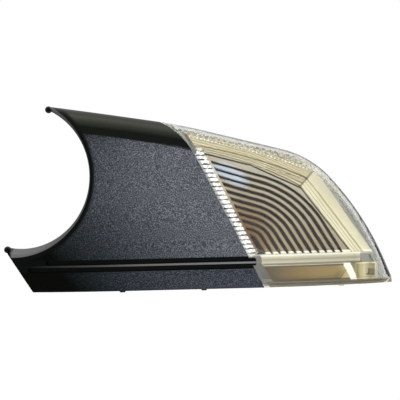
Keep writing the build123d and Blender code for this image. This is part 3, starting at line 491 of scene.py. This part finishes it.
# Painted light and shade by height: darker low in the flutes, a white painted highlight on the studs.
RIM_PAINTED_LIGHT = (
    (0.1, (96, 82, 54)), (0.7, (176, 164, 128)), (1.1, (224, 216, 186)), (2.4, (196, 184, 146)),
    (3.02, (220, 211, 178)), (3.2, (254, 253, 248)),
)
RIM_EDGE = (-0.4, 0.2)
STREAK_PITCH = 1.35
STREAK_EDGE = (0.1, 0.95)
STREAK_STRENGTH = 0.75
# The streaks paint the light and shade of the fine flutes.
STREAK_PAINTED_GOLD = linear(158, 140, 84)
MITRE_START = FLUTES[2]
MITRE_ACROSS = (0.746, -0.666)
MITRE_EDGE = (-0.3, 0.6)
OUTER_ARM_SHARE = 0.6
# Painted highlight on the outer arm of the rim.
OUTER_ARM_PAINTED_HIGHLIGHT = linear(255, 250, 222)
JOINT_EDGE = (0.75, 0.35)
JOINT_STRENGTH = 0.6
JOINT_BROWN = linear(88, 76, 48)
# Painted shade in the dark line between rim and ribs.
FIRST_LINE = (-1.5, -0.6)
FIRST_LINE_SOFT = 0.3
FIRST_LINE_PAINTED_SHADE = linear(30, 24, 15)


def rim_colour(tree, x, z, height, outside):
    """Colour of the flutes and the rim, on both sides of the mitre, with painted light and shade."""
    wave = math_node(tree, "SINE", product(tree, outside, 2 * math.pi / STREAK_PITCH))
    gold = product(tree, rise(tree, wave, *STREAK_EDGE), STREAK_STRENGTH)
    streaked = coated(tree, along(tree, height, RIM_PAINTED_LIGHT), (gold, STREAK_PAINTED_GOLD))
    off_mitre = weighted(tree, *offset(tree, x, z, MITRE_START), *MITRE_ACROSS)
    joint = rise(tree, math_node(tree, "ABSOLUTE", off_mitre), *JOINT_EDGE)
    return coated(
        tree, streaked,
        (rise(tree, off_mitre, *MITRE_EDGE), coated(tree, streaked, (OUTER_ARM_SHARE, OUTER_ARM_PAINTED_HIGHLIGHT))),
        (product(tree, joint, JOINT_STRENGTH), JOINT_BROWN),
    )


rim_length = sum(math.dist(start, end) for start, end in zip(FLUTES, FLUTES[1:]))
print("rim is", round(rim_length, 1), "mm long on its inner side")

# %% [markdown]
# Along the seam with the cover the reflector turns back in a narrow flank with a row of teeth. The
# light breaks on them into bright and dark strokes that change with every tooth. The teeth are solid,
# but at this size their faces show little, so a sine along the seam paints the strokes as painted light
# and shade, it leans by the distance from the seam, and a noise breaks its rhythm.

# %% Flank along the seam
FIELD_BOTTOM = -31.0
SEAM_PLACE = (36.7, -0.31)
SEAM_UP = (-0.445, 0.8955)
SEAM_OUT = (SEAM_UP[1], -SEAM_UP[0])
TOOTH_PITCH = 2.7
STROKE_LEAN = 1.1
BREAK_SIZE = 2.2 * MM
BREAK_ROUGHNESS = 0.6
BREAK_STRENGTH = 2.6
BREAK_START = -1.1
# Painted light and shade of the teeth.
STROKE_PAINTED_LIGHT = ((-0.8, (22, 20, 17)), (-0.35, (190, 192, 192)), (0.1, (252, 253, 255)))
FLANK_WIDTH = (5.2, 4.4)
ABOVE_BOTTOM = (FIELD_BOTTOM, FIELD_BOTTOM + 0.8)
FLANK_TOP = (31.0, 27.0)


def flank_coat(tree, x, z):
    """The mask of the flank and the painted light and shade of its strokes."""
    away = offset(tree, x, z, SEAM_PLACE)
    up_seam = weighted(tree, *away, *SEAM_UP)
    off_seam = weighted(tree, *away, *SEAM_OUT)
    turns = product(tree, up_seam, 2 * math.pi / TOOTH_PITCH)
    lumps = noise(tree, BREAK_SIZE, roughness=BREAK_ROUGHNESS)
    broken = math_node(tree, "MULTIPLY_ADD", lumps, BREAK_STRENGTH, BREAK_START)
    wave = math_node(tree, "SINE", weighted(tree, off_seam, turns, STROKE_LEAN, 1.0))
    mask = product(
        tree, rise(tree, off_seam, *FLANK_WIDTH), rise(tree, z, *ABOVE_BOTTOM),
        rise(tree, up_seam, *FLANK_TOP),
    )
    return mask, along(tree, math_node(tree, "ADD", wave, broken), STROKE_PAINTED_LIGHT)


flank_length = FLANK_TOP[0] - (FIELD_BOTTOM - SEAM_PLACE[1]) / SEAM_UP[1]
print("strokes along the seam:", round(flank_length / TOOTH_PITCH))

# %% [markdown]
# Below the ribs runs a grooved ledge, and below that lies the low window. Its tray is straw-coloured
# with paler borders, a white partition leans across it, and the golden cup of the side lamp follows.
# All of it is one moulding, so it stays one material: ramps along the ledge's height and the tray's
# length give the shades, and masks set partition and cup over them.

# %% Ledge and low window
LEDGE_BOTTOM = -36.2
LEDGE_EDGE = (FIELD_BOTTOM + 0.3, FIELD_BOTTOM - 0.1)
LEDGE_SHADES = (
    (-36.0, (120, 114, 90)), (-35.2, (186, 181, 158)), (-33.6, (150, 144, 122)),
    (-32.0, (196, 192, 170)), (-31.2, (236, 234, 220)),
)
TRAY_MIDDLE = -41.3
TRAY_SHADES = (
    (60.0, (62, 50, 26)), (66.0, (86, 70, 38)), (80.0, (126, 104, 58)), (100.0, (142, 122, 74)),
    (104.5, (176, 162, 118)),
)
TRAY_SHADE_EDGE = (3.0, 3.7)
TRAY_SHADE = linear(84, 76, 54)
TRAY_BORDER_EDGE = (4.2, 4.6)
TRAY_BORDER = linear(196, 192, 174)
PARTITION_X = 107.4
PARTITION_LEAN = 0.45
PARTITION_EDGE = (2.3, 1.5)
PARTITION_WHITE = linear(242, 240, 230)
CUP_EDGE = (2.0, 2.6)
CUP_SHADES = (
    (109.5, (120, 112, 86)), (112.5, (196, 186, 138)), (115.5, (228, 221, 176)),
    (118.5, (176, 166, 124)), (121.0, (206, 200, 178)),
)
WINDOW_EDGE = (LEDGE_BOTTOM - 0.1, LEDGE_BOTTOM - 0.5)


def window_colour(tree, x, z):
    """Colour of the low window, and the mask of its partition."""
    off_middle = math_node(tree, "ABSOLUTE", math_node(tree, "SUBTRACT", z, TRAY_MIDDLE))
    start = -PARTITION_X - PARTITION_LEAN * TRAY_MIDDLE
    off_partition = weighted(tree, x, z, 1.0, PARTITION_LEAN, start)
    partition = rise(tree, math_node(tree, "ABSOLUTE", off_partition), *PARTITION_EDGE)
    colour = coated(
        tree, along(tree, x, TRAY_SHADES),
        (rise(tree, off_middle, *TRAY_SHADE_EDGE), TRAY_SHADE),
        (rise(tree, off_middle, *TRAY_BORDER_EDGE), TRAY_BORDER),
        (partition, PARTITION_WHITE),
        (rise(tree, off_partition, *CUP_EDGE), along(tree, x, CUP_SHADES)),
    )
    return colour, partition


print("partition leans by", round(math.degrees(math.atan(PARTITION_LEAN)), 1), "degrees")

# %% [markdown]
# Now the reflector's places come together. Film lit from many sides through the lens looks brighter
# than any one lamp makes it, above all on the teeth, the studs, the feet of the ribs and the partition.
# More light would bleach the rest, so these places glow with a little painted light of their own colour
# instead, though the film is no lamp.

# %% Metal film of the reflector
FOOT_TOP = FIELD_BOTTOM + 1.3
FOOT_SOFT = 0.3
FOOT_HEIGHT = (0.9, 1.5)
# Painted highlight on the feet of the ribs, where they meet the ledge.
FOOT_PAINTED_HIGHLIGHT = linear(240, 238, 226)
STUD_HEIGHT = (3.08, 3.2)
PAINTED_GLOW = 0.4
RIM_GLOW_SHARE = 0.35
FILM_METALLIC = 0.6
FILM_ROUGHNESS = 0.3
FILM_SIZE = 2.5 * MM
FILM_DETAIL = 3.0
FILM_DEPTH = 0.03 * MM


def make_reflector_metal():
    made, tree, shader = new_finish("reflector_metal")
    x, z = face_place(tree)
    height = field_height(tree)
    outside = above_line(tree, x, z, FLUTES)
    on_rim = rise(tree, outside, *RIM_EDGE)
    on_foot = product(
        tree, between(tree, z, FIELD_BOTTOM, FOOT_TOP, FOOT_SOFT), rise(tree, height, *FOOT_HEIGHT)
    )
    on_flank, strokes = flank_coat(tree, x, z)
    in_window = rise(tree, z, *WINDOW_EDGE)
    window, partition = window_colour(tree, x, z)
    colour = coated(
        tree, rib_colour(tree, x, z, height),
        (on_rim, rim_colour(tree, x, z, height, outside)),
        (between(tree, outside, *FIRST_LINE, FIRST_LINE_SOFT), FIRST_LINE_PAINTED_SHADE),
        (on_foot, FOOT_PAINTED_HIGHLIGHT),
        (on_flank, strokes),
        (rise(tree, z, *LEDGE_EDGE), along(tree, z, LEDGE_SHADES)),
        (in_window, window),
    )
    # Painted light: these places glow though the film is no lamp.
    glow = product(tree, on_rim, rise(tree, z, *ABOVE_BOTTOM), RIM_GLOW_SHARE)
    for mask in (on_flank, on_foot, product(tree, partition, in_window), rise(tree, height, *STUD_HEIGHT)):
        glow = math_node(tree, "MAXIMUM", glow, mask)
    feed(tree, shader.inputs["Base Color"], colour)
    feed(tree, shader.inputs["Emission Color"], colour)
    feed(tree, shader.inputs["Emission Strength"], product(tree, glow, PAINTED_GLOW))
    feed(tree, shader.inputs["Normal"], bump(tree, noise(tree, FILM_SIZE, FILM_DETAIL), FILM_DEPTH))
    shader.inputs["Metallic"].default_value = FILM_METALLIC
    shader.inputs["Roughness"].default_value = FILM_ROUGHNESS
    print(made.name, "has", len(tree.nodes), "nodes")


make_reflector_metal()

# %% [markdown]
# The rest is seen from behind or not at all: the grey case, its seal, the green board with its parts,
# and the screws. Flat colours would do where nothing shows, but the lamp should hold up from any side,
# so each gets the finish that the real piece has, with a little uneven colour and relief. They differ
# only in two shades, a roughness and a metallic share, so one function makes them from a short list.

# %% Finishes of the case and the pieces in it
PLAIN_GRAIN = 0.5 * MM
PLAIN_DETAIL = 3.0
PLAIN_DEPTH = 0.02 * MM
UNEVEN_RANGE = (0.3, 0.7)
PLAIN_FINISHES = {
    "case_grey": ((186, 187, 184), (206, 206, 202), 0.42, 0.0),
    "seal_rubber": ((198, 196, 186), (214, 212, 203), 0.6, 0.0),
    "board_green": ((12, 74, 40), (22, 92, 50), 0.35, 0.0),
    "light_guide": ((226, 222, 206), (240, 238, 228), 0.3, 0.0),
    "chip_black": ((28, 28, 30), (42, 42, 44), 0.5, 0.0),
    "can_silver": ((176, 178, 182), (200, 202, 206), 0.3, 0.9),
    "led_amber": ((240, 230, 190), (250, 243, 212), 0.25, 0.0),
    "strip_amber": ((134, 96, 50), (156, 116, 64), 0.35, 0.0),
    "screw_steel": ((150, 152, 156), (186, 188, 190), 0.32, 1.0),
    "pin_tin": ((196, 196, 192), (214, 214, 210), 0.25, 1.0),
}


def make_plain(name, dark, light, roughness, metallic, grain=PLAIN_GRAIN):
    """A finish whose colour and relief vary a little with a fine noise."""
    made, tree, shader = new_finish(name)
    uneven = noise(tree, grain, PLAIN_DETAIL)
    feed(tree, shader.inputs["Base Color"], along(tree, uneven, tuple(zip(UNEVEN_RANGE, (dark, light)))))
    feed(tree, shader.inputs["Normal"], bump(tree, uneven, PLAIN_DEPTH))
    shader.inputs["Roughness"].default_value = roughness
    shader.inputs["Metallic"].default_value = metallic
    return made


for name, look in PLAIN_FINISHES.items():
    make_plain(name, *look)
print("finishes:", ", ".join(finishes))

# %% [markdown]
# The record names a material slot for each piece, and the finishes have the slots' names. So one loop
# hands them out, which is safer than a list of pieces written here a second time.

# %% Dress the solids
for part in frame["record"]["subparts"]:
    piece = nodes[part["node"]]
    piece.data.materials.clear()
    piece.data.materials.append(finishes[part["material_slot"]])

# %% [markdown]
# Both horns of the cover end in a small blunt knob, which is all that shows of the thick inner edge
# there. Each is a sphere drawn out along the depth of the cover. Its points are set at their real
# place, so that the grain and the painted shade of the tips in the cover's finish run on across it.

# %% Knobs on the horns
KNOB_SIZE = Vector((1.9 * MM, 5.0 * MM, 1.9 * MM))
KNOB_ROUND, KNOB_RINGS = 24, 16
KNOB_PLACES = {
    "upper_horn_knob": Vector((-54.3 * MM, -19.0 * MM, 50.5 * MM)),
    "lower_horn_knob": Vector((-78.4 * MM, -20.0 * MM, -25.2 * MM)),
}


def make_knob(name, middle):
    """An egg-shaped knob that rides with the cover."""
    shape = bmesh.new()
    bmesh.ops.create_uvsphere(shape, u_segments=KNOB_ROUND, v_segments=KNOB_RINGS, radius=1.0)
    for corner in shape.verts:
        corner.co = middle + corner.co * KNOB_SIZE
    for face in shape.faces:
        face.smooth = True
    mesh = bpy.data.meshes.new(name)
    shape.to_mesh(mesh)
    shape.free()
    mesh.materials.append(finishes["cover_black"])
    knob = bpy.data.objects.new(name, mesh)
    bpy.context.scene.collection.objects.link(knob)
    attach(knob, "root")
    return knob


for name, middle in KNOB_PLACES.items():
    knob = make_knob(name, middle)
    print(knob.name, "has", len(knob.data.polygons), "faces")

# %% [markdown]
# The photograph was taken square on to the face with a long lens, and the part is turned in it by a
# degree and a half. One pixel there is 0.54 mm on the part. The part could be turned to match, but the
# solids stay where they are, so the camera gets the turn. Its distance follows from the focal length
# and the width that the frame has to show.

# %% Camera
PIXEL = 0.54 * MM
FRAME_PIXELS = 400
MIDDLE_PIXELS = 50.0
FACE_Y = -30 * MM
TURN = math.radians(1.42)
FOCAL = 200.0
SENSOR = 36.0

distance = FRAME_PIXELS * PIXEL * FOCAL / SENSOR
right = Vector((math.cos(TURN), 0, -math.sin(TURN)))
up = Vector((math.sin(TURN), 0, math.cos(TURN)))
back = Vector((0, -1, 0))
aim = right * MIDDLE_PIXELS * PIXEL + Vector((0, FACE_Y, 0))
camera_data = bpy.data.cameras.new("camera")
camera_data.lens = FOCAL
camera_data.sensor_width = SENSOR
camera = bpy.data.objects.new("camera", camera_data)
bpy.context.scene.collection.objects.link(camera)
turned = Matrix((right, up, back)).transposed().to_4x4()
camera.matrix_world = Matrix.Translation(aim + back * distance) @ turned
bpy.context.scene.camera = camera
print("camera is", round(distance, 3), "m away")

# %% [markdown]
# The studio is plain. A large soft lamp in front gives the face its sheen, and a fainter one fills in
# from above. Small lamps would do the same work with hard shadows. The lamps are left out of mirror
# images, which would show them as hard squares.

# %% Lamps
LAMP_AIM = Vector((0.03, 0, 0))
LAMPS = {
    "front_lamp": (Vector((0.25, -1.6, -0.1)), (1.0, 0.8), 16.0),
    "top_lamp": (Vector((-0.2, -0.6, 1.2)), (0.8, 0.8), 8.0),
}


def add_lamp(name, stand, size, power):
    """A rectangular area lamp that faces the part."""
    data = bpy.data.lights.new(name, "AREA")
    data.shape = "RECTANGLE"
    data.size, data.size_y = size
    data.energy = power
    lamp = bpy.data.objects.new(name, data)
    bpy.context.scene.collection.objects.link(lamp)
    lamp.location = stand
    lamp.rotation_euler = (LAMP_AIM - stand).to_track_quat("-Z", "Y").to_euler()
    lamp.visible_glossy = False
    lamp.visible_transmission = False
    print(lamp.name, "of", power, "W")


for name, (stand, size, power) in LAMPS.items():
    add_lamp(name, stand, size, power)

# %% [markdown]
# The room shows itself in three ways. The camera, and what is seen through the lens, meets plain white.
# Dull surfaces are lit by an even grey. Shiny ones mirror a room that is white below and pale above,
# with a dim band at eye level: a white room all round would lay a veil over the lens.

# %% Room
WHITE = (1.0, 1.0, 1.0)
ROOM_GREY = (0.42, 0.42, 0.43)
BAND_GREY = (0.2, 0.2, 0.21)
ROOM_LOOK = (
    (0.0, WHITE), (0.3, WHITE), (0.4, BAND_GREY), (0.6, BAND_GREY), (0.72, (0.9, 0.9, 0.9)),
    (0.95, (0.75, 0.75, 0.76)),
)


def straight_rays(tree):
    """A mask for rays that the camera sees, directly or through something clear."""
    rays = add_node(tree, "ShaderNodeLightPath").outputs
    return math_node(tree, "MAXIMUM", rays["Is Camera Ray"], rays["Is Transmission Ray"])


world = bpy.data.worlds.new("studio")
bpy.context.scene.world = world
world.use_nodes = True
tree = world.node_tree
direction = add_node(tree, "ShaderNodeTexCoord").outputs["Generated"]
upwards = add_node(tree, "ShaderNodeSeparateXYZ", {"Vector": direction}).outputs["Z"]
mirrored = ramp(tree, math_node(tree, "MULTIPLY_ADD", upwards, 0.5, 0.5), *ROOM_LOOK)
glossy = add_node(tree, "ShaderNodeLightPath").outputs["Is Glossy Ray"]
room = coated(tree, ROOM_GREY, (glossy, mirrored), (straight_rays(tree), WHITE))
feed(tree, tree.nodes["Background"].inputs["Color"], room)
print("world", world.name, "has", len(tree.nodes), "nodes")

# %% [markdown]
# The floor is white paper. It lies well below the part and is large enough that its edge never shows.
# For the camera it is lit up to the white of the room, as a photograph on a white ground is, with a
# trace of its own shading left. Brighter lamps would do that too, but they would bleach the part.

# %% Floor
FLOOR_Z = -0.28
FLOOR_SIZE = 12.0
FLOOR_GLOW = 0.93
FLOOR_STRENGTH = 1.06
PAPER_LOOK = ((236, 236, 235), (242, 242, 241), 0.8, 0.0)
PAPER_GRAIN = 20 * MM

paper = make_plain("floor_paper", *PAPER_LOOK, grain=PAPER_GRAIN)
tree = paper.node_tree
bright = add_node(tree, "ShaderNodeEmission", {"Strength": FLOOR_STRENGTH}).outputs["Emission"]
shaded = tree.nodes["Principled BSDF"].outputs["BSDF"]
mix_shaders(tree, product(tree, straight_rays(tree), FLOOR_GLOW), shaded, bright)

half = FLOOR_SIZE / 2
corners = [(-half, -half, FLOOR_Z), (half, -half, FLOOR_Z), (half, half, FLOOR_Z), (-half, half, FLOOR_Z)]
floor_mesh = bpy.data.meshes.new("floor")
floor_mesh.from_pydata(corners, [], [(0, 1, 2, 3)])
floor_mesh.materials.append(paper)
floor = bpy.data.objects.new("floor", floor_mesh)
bpy.context.scene.collection.objects.link(floor)
print("floor is", FLOOR_SIZE, "m wide at", FLOOR_Z, "m")

# %% [markdown]
# Last, the view settings stay plain.

# %% Finish
bpy.context.scene.view_settings.view_transform = "Standard"
